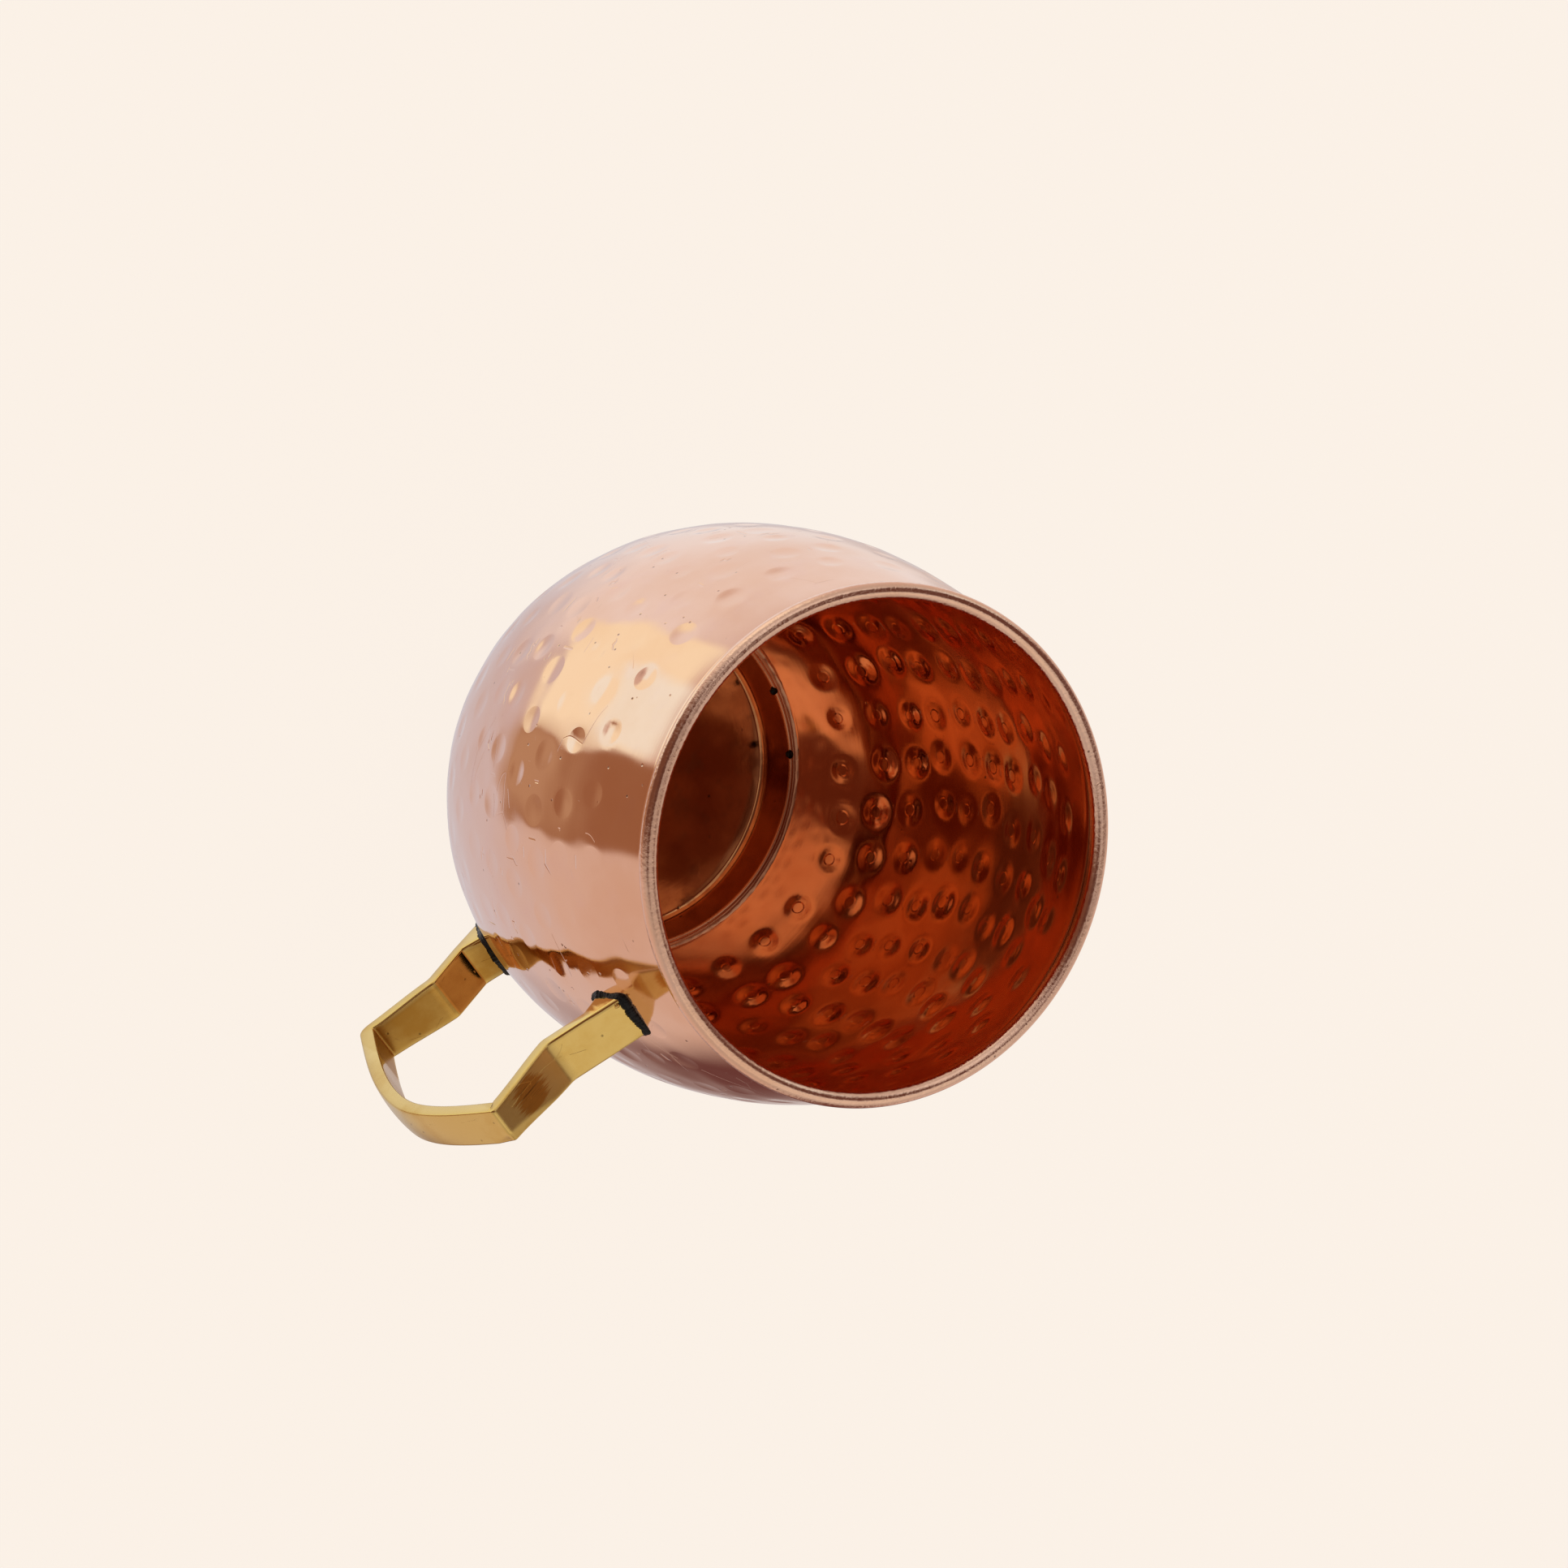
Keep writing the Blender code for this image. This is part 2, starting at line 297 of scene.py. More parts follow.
def hammer_marks():
    """Where each blow fell: angle, height, radius and depth."""
    marks = []
    for row in range(ROWS):
        height = LOWEST_ROW + row * ROW_RISE
        count = round(MOST_MARKS - MARKS_LOST * (row - FULLEST_ROW) ** 2)
        for i in range(count):
            angle = math.radians(ROW_START) + 2 * math.pi * i / count
            angle += random.uniform(-1.0, 1.0) * 0.0010 / radius_at(height)
            rise = random.uniform(-0.0007, 0.0007)
            size = DIMPLE_RADIUS * random.uniform(0.82, 1.05)
            depth = DIMPLE_DEPTH * random.uniform(0.6, 1.5) * (LOWEST_BLOW if row == 0 else 1.0)
            beside = abs(math.degrees(math.remainder(angle, 2 * math.pi)))
            full = smooth_share(beside, SHY_ANGLE - SHY_BLEND, SHY_ANGLE + SHY_BLEND)
            depth *= LIGHT_BLOW + (1.0 - LIGHT_BLOW) * full
            marks.append((angle, height + rise, size, depth))
    return marks


def hammered(stations, stops, angles):
    """How far the wall is driven in outside and pushed out inside, and each point's place in its mark.

    A place is across, along and one, with the mark's radius as one, or zeros away from every mark.
    """
    dent = np.zeros((len(stations), len(angles)))
    bump = dent.copy()
    place = np.zeros((len(stations), len(angles), 3))
    for angle, height, size, deep in hammer_marks():
        centre = np.interp(-height, -stations[:, 1], stops)
        reach = MARK_REACH * size
        near = np.where(np.abs(stops - centre) < reach)[0]
        turn = (angles - angle + math.pi) % (2 * math.pi) - math.pi
        beside = np.where(np.abs(turn) < reach / radius_at(height))[0]
        window = np.ix_(near, beside)
        across = turn[beside][None, :] * stations[near, 0][:, None] / size
        along = (stops[near] - centre)[:, None] / size + 0.0 * across
        away = np.hypot(across, along)
        cap = np.clip(1.0 - away**2, 0.0, 1.0)
        dent[window] = np.maximum(dent[window], deep * cap**DISH_CURVE)
        rise = np.clip((BUMP_SPREAD - away) / (BUMP_SPREAD * (1.0 - TIP_SHARE)), 0.0, 1.0)
        bump[window] = np.maximum(bump[window], BUMP_GAIN * deep * rise**2 * (3.0 - 2.0 * rise))
        patch = place[window]
        held = away < MARK_REACH
        patch[held] = np.stack((across, along, np.ones_like(away)), axis=2)[held]
        place[window] = patch
    sway = wall_sway(stations, angles)
    return dent + sway, bump + sway, place


def wall_sway(stations, angles):
    """How far the whole sheet wanders inward, dying away towards the mouth and the lower edge."""
    sway = np.zeros((len(stations), len(angles)))
    for i, (radius, height) in enumerate(stations):
        low = smooth_share(height, EDGE_HEIGHT + 0.002, LOWEST_ROW)
        fade = low * smooth_share(HEIGHT - height, 0.003, 0.014)
        for j, angle in enumerate(angles):
            spot = Vector((radius * math.cos(angle), radius * math.sin(angle), height)) * SWAY_FINENESS
            wave = noise.noise(spot) + 0.35 * noise.noise(spot * 2.1)
            sway[i, j] = SWAY * fade * min(max(0.5 + 0.6 * wave, 0.0), 1.0)
    return sway


def bead_outline():
    """The rolled bead from inside to under, with the fine groove left where the sheet turns over."""
    turns = np.linspace(180.0, -90.0, 46)
    groove = GROOVE_DEPTH * np.exp(-(((turns - GROOVE_TURN) / GROOVE_WIDTH) ** 2))
    reach = BEAD_RADIUS - groove
    x = RIM_RADIUS - BEAD_RADIUS + reach * np.cos(np.radians(turns))
    return np.column_stack((x, HEIGHT - BEAD_RADIUS + reach * np.sin(np.radians(turns))))


def make_body(material, shaded_inner_material):
    stations, stops = wall_stations()
    side = right_hand(stations)[0]
    angles = np.linspace(0.0, 2 * math.pi, TURN_STEPS, endpoint=False)
    dent, bump, place = hammered(stations, stops, angles)
    inside = offset(stations, SHEET)
    kept = ~((inside[:, 0] < CUP_RADIUS + GAP) & (inside[:, 1] < BELLY_HEIGHT))

    def wall(outline, chosen, depth):
        rings = spun(outline[chosen])
        push = side[chosen][:, 0][:, None] * depth[chosen]
        rings[:, :, 0] += push * np.cos(angles)
        rings[:, :, 1] += push * np.sin(angles)
        rings[:, :, 2] += side[chosen][:, 1][:, None] * depth[chosen]
        return rings

    bead = spun(bead_outline())[:-1]
    outer = wall(stations, np.ones(len(stations), bool), dent)
    inner = wall(inside, kept, bump)[:0:-1]
    rings = np.concatenate((outer, inner, bead))
    obj = grid_mesh("barrel", rings[::-1], material)
    places = np.concatenate((place, place[kept][:0:-1], np.zeros_like(bead)))[::-1]
    layer = obj.data.attributes.new("mark", "FLOAT_VECTOR", "POINT")
    layer.data.foreach_set("vector", places.ravel())
    obj.data.materials.append(shaded_inner_material)
    level = np.arange(len(rings))[::-1]
    lined = (level >= len(outer)) & (level < len(outer) + len(inner) - 1)
    obj.data.polygons.foreach_set("material_index", np.repeat(lined, TURN_STEPS).astype(np.int32))
    return fit(obj, "body_shell")


def make_cup(material):
    """The cup from the middle of its floor up, over its lip and down under its foot."""
    lip = CUP_SHEET / 2
    outer_corner = CUP_CORNER + CUP_SHEET
    taper = math.degrees(math.atan2(CUP_RADIUS - FOOT_RADIUS, CUP_HEIGHT))
    middle = (FOOT_RADIUS - outer_corner, outer_corner)
    floor_stops = np.linspace(1.0, 0.0, 20)[1:-1][:, None]
    pole = 0.00005
    under = np.array((middle[0], 0.0)) * floor_stops
    over = np.array((middle[0], 0.0)) * floor_stops[::-1] + np.array((0.0, CUP_SHEET))
    outline = np.vstack(
        (
            [(pole, CUP_SHEET)],
            over,
            arc(middle, CUP_CORNER, -90.0, -taper, 10),
            arc((CUP_RADIUS - lip, CUP_HEIGHT - lip), lip, 180.0, 0.0, 10),
            arc(middle, outer_corner, -taper, -90.0, 10),
            under,
            [(pole, 0.0)],
        )
    )
    rings = spun(outline, CUP_STEPS)[::-1]
    obj = grid_mesh("cup", rings, material, caps=True, across_closed=False)
    return fit(obj, "base_cup")


def make_base_braze(material):
    """A ragged hollow fillet between the barrel's lower edge and the cup."""
    under = offset(WALL, -GAP)[-1]
    top = under + np.array((1.0, SHOULDER_SLOPE)) / math.hypot(1.0, SHOULDER_SLOPE) * FILLET
    lean = (CUP_RADIUS - FOOT_RADIUS) / CUP_HEIGHT
    corner = np.array((FOOT_RADIUS + lean * under[1], under[1] - GAP))
    toe = np.array((FOOT_RADIUS + lean * (corner[1] - FILLET), corner[1] - FILLET))
    face = bezier(top, (top + under) / 2, (toe + corner) / 2, toe, 8)
    rings = spun(np.vstack((face, corner, under)), BRAZE_STEPS)
    for ring in rings[1:8]:
        for point in ring:
            lump = noise.noise(Vector(point) * 900.0) + 0.5 * noise.noise(Vector(point) * 2600.0)
            point *= 1.0 + FILLET_LUMPS * lump
    return fit(grid_mesh("base_fillet", rings[::-1], material), "base_braze")


# Handle


def handle_frame():
    """Places the handle's own frame, x out from the wall, and its reach to each foot."""
    high = HEIGHT - UPPER_FOOT_DROP
    low = LOWER_FOOT_RISE
    middle = Matrix.Translation(((radius_at(high) + radius_at(low)) / 2, 0.0, (high + low) / 2))
    return middle @ Matrix.Rotation(math.radians(STRAP_TILT), 4, "Y"), (high - low) / 2


HANDLE_FRAME, REACH = handle_frame()
BEND_X = (HANDLE_FRAME @ Vector((BEND_REACH, 0.0, REACH))).x
CORNER_X = (HANDLE_FRAME @ Vector((CORNER_REACH, 0.0, REACH))).x


def wall_reach(y, z):
    """How far out the wall stands at a place in the handle's own frame."""
    x = 0.0
    for _ in range(4):
        point = HANDLE_FRAME @ Vector((x, y, z))
        x += radius_at(point.z) - math.hypot(point.x, point.y)
    return x


def strap_knots():
    """Corners of the strap's outer face."""
    rise = BEND_INSET / BEND_REACH
    arm = [(x, REACH - rise * x) for x in (0.0, FLARE_LENGTH)]
    arm += [(BEND_REACH, REACH - BEND_INSET), (CORNER_REACH, REACH - CORNER_INSET)]
    bulge = LOOP_REACH - CORNER_REACH

    def loop(corner_height):
        span = corner_height - LOOP_PEAK
        return bezier(
            (CORNER_REACH, corner_height),
            (CORNER_REACH + 0.66 * bulge, LOOP_PEAK + 0.57 * span),
            (LOOP_REACH, LOOP_PEAK + 0.28 * span),
            (LOOP_REACH, LOOP_PEAK),
            24,
        )

    corner = REACH - CORNER_INSET
    below = [(x, -z) for x, z in reversed(arm)]
    return np.vstack((arm, loop(corner)[1:], loop(-corner)[-2:0:-1], below))


def fine_line(knots, counts):
    """Points along straight legs, with a given count on each leg."""
    legs = [
        a + (b - a) * np.linspace(0.0, 1.0, n, endpoint=False)[:, None]
        for a, b, n in zip(knots, knots[1:], counts)
    ]
    return np.vstack(legs + [knots[-1:]])


def eased(line, spreads):
    """The line with its corners rounded, each point averaged over its own spread of neighbours."""
    made = line.copy()
    for i, spread in enumerate(spreads):
        reach = int(min(spread, i, len(line) - 1 - i))
        made[i] = line[i - reach : i + reach + 1].mean(axis=0)
    return made


def strap_section(reach_out, upper):
    """The strap's section, all the way round: y, and depth below the outer face."""
    taper = smooth_share(reach_out, BEND_REACH, CORNER_REACH)
    half = (STRAP_WIDTH + (LOOP_WIDTH - STRAP_WIDTH) * taper) / 2
    bulge = max(0.0, reach_out - CORNER_REACH) / (LOOP_REACH - CORNER_REACH)
    ground = smooth_share(reach_out, BEND_REACH, CORNER_REACH) * (1.0 - smooth_share(bulge, 0.02, 0.3))
    chamfer = GROUND_EDGE * ground if upper else 0.0
    face = half - STRAP_EDGE
    outline = []
    for y in np.linspace(-face, face, FACE_STEPS + 1):
        drop = LOOP_CROWN * bulge * (y / half) ** 2
        drop += max(0.0, y - (half - chamfer)) * GROUND_SLOPE
        outline.append((y, drop))
    near, far = outline[-1][1], outline[0][1]
    turn = np.radians(np.linspace(-90.0, 0.0, 5))[1:]
    outline += [(face + STRAP_EDGE * math.cos(a), near + STRAP_EDGE * (1 + math.sin(a))) for a in turn]
    back = STRAP_THICKNESS - STRAP_EDGE
    turn = np.radians(np.linspace(0.0, 90.0, 5))
    outline += [(face + STRAP_EDGE * math.cos(a), back + STRAP_EDGE * math.sin(a)) for a in turn]
    outline += [(y, STRAP_THICKNESS) for y in np.linspace(face, -face, FACE_STEPS // 2 + 1)[1:-1]]
    turn = np.radians(np.linspace(90.0, 180.0, 5))
    outline += [(-face + STRAP_EDGE * math.cos(a), back + STRAP_EDGE * math.sin(a)) for a in turn]
    turn = np.radians(np.linspace(180.0, 270.0, 5))[:-1]
    outline += [(-face + STRAP_EDGE * math.cos(a), far + STRAP_EDGE * (1 + math.sin(a))) for a in turn]
    return outline


def make_handle(material):
    knots = strap_knots()
    under = offset(knots, STRAP_THICKNESS)
    counts = np.maximum(1, np.round(np.diff(lengths(knots)) / STRAP_SPACING)).astype(int)
    marks = np.concatenate(([0], np.cumsum(counts)))
    last = len(knots) - 1
    spreads = np.full(marks[-1] + 1, CRISP_BEND)
    soft = marks[last - 3]
    spreads[soft - 2 * SOFT_BEND : soft + 2 * SOFT_BEND] = SOFT_BEND
    outer = eased(fine_line(knots, counts), spreads)
    inner = eased(fine_line(under, counts), spreads)
    rings = []
    for (x, z), (inner_x, inner_z) in zip(outer, inner):
        flare = max(0.0, 1.0 - max(x, 0.0) / FLARE_LENGTH)
        inner_z -= math.copysign((FOOT_DEPTH - STRAP_THICKNESS) * flare, z)
        ring = []
        for y, depth in strap_section(x, z > 0.0):
            share = depth / STRAP_THICKNESS
            point = Vector((x + (inner_x - x) * share, y, z + (inner_z - z) * share))
            point.x += flare * (wall_reach(point.y, point.z) - FOOT_SINK)
            ring.append(HANDLE_FRAME @ point)
        rings.append(ring)
    obj = grid_mesh("strap", np.array(rings)[::-1], material, caps=True, across_closed=False)
    return fit(obj, "handle")


# Brazed seams


def foot_outline(steps):
    """Points and outward directions round a foot, as rounded corners and straight sides."""
    half_y = STRAP_WIDTH / 2 - FOOT_CORNER
    half_z = FOOT_DEPTH / 2 - FOOT_CORNER
    made = []
    for i in range(steps):
        angle = 2 * math.pi * i / steps
        away = Vector((math.cos(angle), math.sin(angle)))
        stretch = 1.0 / max(abs(away.x), abs(away.y))
        square = away * stretch
        direction = Vector((square.x**5, square.y**5)).normalized()
        made.append(((square.x * half_y, square.y * half_z), direction))
    return made


def make_seam(name, node, side, spread, climb, unevenness, seed, material):
    """Filler run round a foot: ragged where it wets the wall and where it climbs the strap."""
    centre_z = side * (REACH - FOOT_DEPTH / 2)
    rings = []
    for i, ((y, z), direction) in enumerate(foot_outline(SEAM_STEPS)):
        spot = Vector((y, z, seed)) * 1000.0
        coarse = noise.noise(spot * 0.4)
        fine = noise.noise(spot * 2.6) * 0.6 + noise.noise(spot * 7.0) * 0.35
        swell = noise.noise(spot * 0.5 + Vector((9, 9, 9)))
        out = spread * max(0.35, 1.0 + unevenness * (0.7 * coarse + 0.4 * fine))
        high = climb * max(0.35, 1.0 + unevenness * (0.8 * swell + 0.5 * fine))
        section = [(-SEAM_BACK, -SEAM_BED), (out * 0.9, -SEAM_BED)]
        turns = np.radians(np.linspace(0.0, 90.0, 9))
        for k, a in enumerate(turns):
            lump = 1.0 + 0.15 * noise.noise(spot * 3.0 + Vector((k, 0.0, 0.0)) * 0.6)
            hollow = 1.0 - 0.28 * math.sin(2 * a)
            section.append((out * math.cos(a) * lump * hollow, high * math.sin(a) * lump * hollow))
        section.append((-SEAM_BACK, high * 0.9))
        ring = []
        for away, up in section:
            place_y = y + direction.x * (FOOT_CORNER + away)
            place_z = z + direction.y * (FOOT_CORNER + away) + centre_z
            wall = wall_reach(place_y, place_z)
            ring.append(HANDLE_FRAME @ Vector((wall + up, place_y, place_z)))
        rings.append(ring)
    return fit(grid_mesh(name, np.array(rings)[::-1], material), node)


def make_lump(name, node, centre, sizes, seed, material):
    """A small frozen drop, flattened and uneven."""
    rings = []
    for turn in np.radians(np.linspace(-84.0, 84.0, 13)):
        ring = []
        for around in np.linspace(0.0, 2 * math.pi, 20, endpoint=False):
            level = math.cos(turn)
            away = Vector((level * math.cos(around), level * math.sin(around), math.sin(turn)))
            swell = 1.0 + 0.35 * noise.noise(away * 1.4 + Vector((seed, 0.0, 0.0)))
            ring.append([c + a * size * swell for c, a, size in zip(centre, away, sizes)])
        rings.append(ring)
    return fit(grid_mesh(name, np.array(rings), material, caps=True, across_closed=False), node)


def make_lip_braze(material):
    """Filler drawn up by heat into the notch between the barrel's wall and the cup's lip."""
    low = CUP_HEIGHT - LIP_BRAZE
    high = CUP_HEIGHT - 0.00015
    inside = offset(WALL, SHEET)[::-1]
    crest = high + 0.0005
    low_wall, high_wall = (float(np.interp(z, inside[:, 1], inside[:, 0])) for z in (low, crest))
    wall = (high_wall + 0.0001, crest)
    lip = (CUP_RADIUS - 0.00012, high - 0.0001)
    face = bezier(wall, (wall[0] - 0.0003, high), (lip[0] + 0.0004, lip[1] - 0.0001), lip, 6)
    back = [(CUP_RADIUS - 0.0001, low), (low_wall + 0.0001, low)]
    rings = spun(np.vstack((face, back)), BRAZE_STEPS)
    for ring in rings[1:6]:
        for point in ring:
            point[2] += LIP_BRAZE_LUMPS * noise.noise(Vector(point) * 1200.0)
    return fit(grid_mesh("lip_fillet", rings, material), "base_braze")


def make_drops(flux, brass_filler):
    """Burnt flux caught on the cup's lip, and a bead of filler at a corner of the upper foot."""
    for i, turn in enumerate(SPECK_TURNS):
        angle = math.radians(turn)
        reach = CUP_RADIUS - 0.0009
        centre = (reach * math.cos(angle), reach * math.sin(angle), CUP_HEIGHT - 0.0001)
        make_lump(f"lip_speck_{i + 1}", "base_braze", centre, SPECK_SIZES, i, flux)
    y = -STRAP_WIDTH / 2 + 0.0009
    x = wall_reach(y, REACH) + 0.0012
    centre = HANDLE_FRAME @ Vector((x, y, REACH - BEND_INSET / BEND_REACH * x + 0.00005))
    sizes = (0.0005, 0.0004, 0.0003)
    make_lump("filler_bead", "upper_braze", centre, sizes, 5, brass_filler)


# Shader groups


def add(tree, kind, sockets=None, **settings):
    """A node with its settings. Each socket takes a value or another node's output."""
    made = tree.nodes.new("ShaderNode" + kind)
    for key, value in settings.items():
        setattr(made, key, value)
    for key, value in (sockets or {}).items():
        if isinstance(value, bpy.types.NodeSocket):
            tree.links.new(value, made.inputs[key])
        else:
            made.inputs[key].default_value = value
    return made


def math_of(tree, operation, *values):
    return add(tree, "Math", dict(enumerate(values)), operation=operation).outputs[0]


def ramp_between(tree, value, low, high, to_low=0.0, to_high=1.0):
    """The value mapped smoothly from one range to another."""
    sockets = {"Value": value, "From Min": low, "From Max": high, "To Min": to_low, "To Max": to_high}
    return add(tree, "MapRange", sockets, interpolation_type="SMOOTHSTEP").outputs["Result"]


def mixed(tree, factor, first, second):
    made = add(tree, "Mix", {0: factor, 6: first, 7: second}, data_type="RGBA")
    return made.outputs[2]


def new_group(name, numbers, output, kind="Float"):
    """A shader group with a Vector and named numbers going in, and one value coming out."""
    group = bpy.data.node_groups.new(name, "ShaderNodeTree")
    group.interface.new_socket("Vector", in_out="INPUT", socket_type="NodeSocketVector")
    for title, value in numbers.items():
        socket = group.interface.new_socket(title, in_out="INPUT", socket_type="NodeSocketFloat")
        socket.default_value = value
    group.interface.new_socket(output, in_out="OUTPUT", socket_type="NodeSocket" + kind)
    return group, group.nodes.new("NodeGroupInput").outputs, group.nodes.new("NodeGroupOutput").inputs


def brush_group():
    """Fine parallel lines left by a polishing wheel, along whatever way the vector is stretched."""
    group, given, result = new_group("brush_lines", {"Fineness": 1.0, "Waviness": 0.2}, "Height")
    sockets = {"Vector": given["Vector"], "Scale": given["Fineness"], "Detail": 5.0, "Roughness": 0.65}
    sockets["Distortion"] = given["Waviness"]
    lines = add(group, "TexNoise", sockets)
    group.links.new(lines.outputs["Fac"], result["Height"])
    return group


def pit_group():
    """Scattered pinprick pits."""
    group, given, result = new_group("pits", {"Scale": 800.0, "Size": 0.2, "Rarity": 0.6}, "Mask")
    cells = add(group, "TexVoronoi", {"Vector": given["Vector"], "Scale": given["Scale"]})
    chosen = add(group, "SeparateColor", {"Color": cells.outputs["Color"]})
    some = math_of(group, "GREATER_THAN", chosen.outputs[0], given["Rarity"])
    dot = add(
        group,
        "MapRange",
        {"Value": cells.outputs["Distance"], "From Min": given["Size"], "From Max": 0.0},
        interpolation_type="SMOOTHSTEP",
    )
    group.links.new(math_of(group, "MULTIPLY", some, dot.outputs["Result"]), result["Mask"])
    return group


def scratch_group():
    """Broken hairline scratches."""
    group, given, result = new_group("scratches", {"Scale": 60.0, "Width": 0.01, "Gaps": 0.5}, "Mask")
    sway = add(group, "TexNoise", {"Vector": given["Vector"], "Scale": given["Scale"], "Detail": 1.0})
    bent = add(
        group,
        "VectorMath",
        {0: sway.outputs["Color"], 1: (0.004, 0.004, 0.004), 2: given["Vector"]},
        operation="MULTIPLY_ADD",
    )
    edges = add(
        group,
        "TexVoronoi",
        {"Vector": bent.outputs[0], "Scale": given["Scale"]},
        feature="DISTANCE_TO_EDGE",
    )
    line = add(
        group,
        "MapRange",
        {"Value": edges.outputs["Distance"], "From Min": given["Width"], "From Max": 0.0},
        interpolation_type="SMOOTHSTEP",
    )
    sockets = {"Vector": given["Vector"], "Scale": given["Scale"], "Detail": 2.0}
    patches = add(group, "TexNoise", sockets)
    shown = math_of(group, "GREATER_THAN", patches.outputs["Fac"], given["Gaps"])
    group.links.new(math_of(group, "MULTIPLY", line.outputs["Result"], shown), result["Mask"])
    return group


def mark_group():
    """The crisp parts of a hammer mark: its dished face, and the flat that the hammer's tip left."""
    group, given, result = new_group("hammer_mark", {"Dish": 1.0, "Boss": 0.0}, "Height")
    parts = add(group, "SeparateXYZ", {"Vector": given["Vector"]}).outputs
    squared = math_of(group, "MULTIPLY", parts[0], parts[0])
    squared = math_of(group, "MULTIPLY_ADD", parts[1], parts[1], squared)
    cap = math_of(group, "MAXIMUM", math_of(group, "SUBTRACT", 1.0, squared), 0.0)
    dish = math_of(group, "MULTIPLY", cap, given["Dish"])
    away = math_of(group, "SQRT", squared)
    tip = ramp_between(group, away, TIP_SHARE + 0.14, TIP_SHARE)
    boss = math_of(group, "MULTIPLY", tip, given["Boss"])
    inside = math_of(group, "GREATER_THAN", parts[2], 0.99)
    height = math_of(group, "MULTIPLY", math_of(group, "ADD", dish, boss), inside)
    group.links.new(height, result["Height"])
    return group


def cloud_group():
    """Soft blotches of handling and heat."""
    group, given, result = new_group("clouds", {"Scale": 40.0, "Low": 0.4, "High": 0.65}, "Mask")
    cloud = add(
        group,
        "TexNoise",
        {"Vector": given["Vector"], "Scale": given["Scale"], "Detail": 5.0, "Roughness": 0.6},
    )
    span = add(
        group,
        "MapRange",
        {"Value": cloud.outputs["Fac"], "From Min": given["Low"], "From Max": given["High"]},
        interpolation_type="SMOOTHSTEP",
    )
    group.links.new(span.outputs["Result"], result["Mask"])
    return group


GROUPS = {
    "brush": brush_group(),
    "pits": pit_group(),
    "scratches": scratch_group(),
    "mark": mark_group(),
    "clouds": cloud_group(),
}


def effect(tree, name, vector, **numbers):
    """One of the shader groups, placed in a material with its own values."""
    node = tree.nodes.new("ShaderNodeGroup")
    node.node_tree = GROUPS[name]
    tree.links.new(vector, node.inputs["Vector"])
    for title, value in numbers.items():
        node.inputs[title].default_value = value
    return node.outputs[0]


def stretched(tree, vector, x, y, z):
    return add(tree, "Mapping", {"Vector": vector, "Scale": (x, y, z)}).outputs[0]


def start_material(name, metallic):
    material = bpy.data.materials.new(name)
    material.use_nodes = True
    tree = material.node_tree
    shader = tree.nodes["Principled BSDF"]
    shader.inputs["Metallic"].default_value = metallic
    place = add(tree, "TexCoord").outputs["Object"]
    return material, tree, shader, place


def height_sum(tree, *terms):
    """Adds weighted heights, given as pairs of an output and a weight."""
    total = 0.0
    for value, weight in terms:
        total = add(tree, "Math", {0: value, 1: weight, 2: total}, operation="MULTIPLY_ADD").outputs[0]
    return total


def set_relief(tree, shader, height, depth):
    bump = add(tree, "Bump", {"Height": height, "Distance": depth})
    tree.links.new(bump.outputs["Normal"], shader.inputs["Normal"])


# Materials


def outer_copper():
    """Bright polished copper, brushed round the mug, with pits, scratches and a darker, rougher line
    along the crease under the bead.
    """
    material, tree, shader, place = start_material("hammered_copper", 1.0)
    lines = effect(tree, "brush", stretched(tree, place, 30.0, 30.0, 2600.0), Fineness=1.0)
    pits = effect(tree, "pits", place, Scale=420.0, Size=0.13, Rarity=0.72)
    long_way = stretched(tree, place, 1.0, 1.0, 2.2)
    scratches = effect(tree, "scratches", long_way, Scale=70.0, Width=0.010, Gaps=0.60)
    place_in_mark = add(tree, "Attribute", attribute_name="mark").outputs["Vector"]
    marks = effect(tree, "mark", place_in_mark, Dish=-1.0)
    clouds = effect(tree, "clouds", place, Scale=26.0, Low=0.42, High=0.68)
    grains = effect(tree, "clouds", place, Scale=1500.0, Low=0.35, High=0.7)
    fine_clouds = effect(tree, "clouds", place, Scale=150.0, Low=0.5, High=0.75)
    height = add(tree, "SeparateXYZ", {"Vector": place}).outputs["Z"]
    crease = math_of(tree, "ABSOLUTE", math_of(tree, "SUBTRACT", height, HEIGHT - 2 * BEAD_RADIUS))
    # A narrow line along the crease under the bead: darkened in colour and made rougher.
    crease_darkening = ramp_between(tree, crease, 0.00045, 0.00010)
    on_bead = ramp_between(tree, height, HEIGHT - 2 * BEAD_RADIUS, HEIGHT - 1.6 * BEAD_RADIUS)
    colour = mixed(tree, clouds, (0.92, 0.60, 0.48, 1.0), (0.88, 0.53, 0.39, 1.0))
    colour = mixed(tree, math_of(tree, "MULTIPLY", fine_clouds, 0.25), colour, (0.86, 0.55, 0.50, 1.0))
    colour = mixed(tree, math_of(tree, "MULTIPLY", pits, 0.8), colour, (0.10, 0.04, 0.02, 1.0))
    colour = mixed(tree, math_of(tree, "MULTIPLY", crease_darkening, 0.7), colour, (0.16, 0.06, 0.03, 1.0))
    tree.links.new(colour, shader.inputs["Base Color"])
    wear = ((lines, 0.04), (clouds, 0.05), (scratches, 0.12), (crease_darkening, 0.2), (on_bead, 0.06))
    rough = height_sum(tree, *wear, (1.0, 0.035))
    tree.links.new(rough, shader.inputs["Roughness"])
    bead_grain = math_of(tree, "MULTIPLY", on_bead, grains)
    flaws = ((lines, 0.08), (pits, -1.0), (scratches, -0.3), (marks, 1.3), (bead_grain, 0.5))
    set_relief(tree, shader, height_sum(tree, *flaws), 0.00004)
    return material


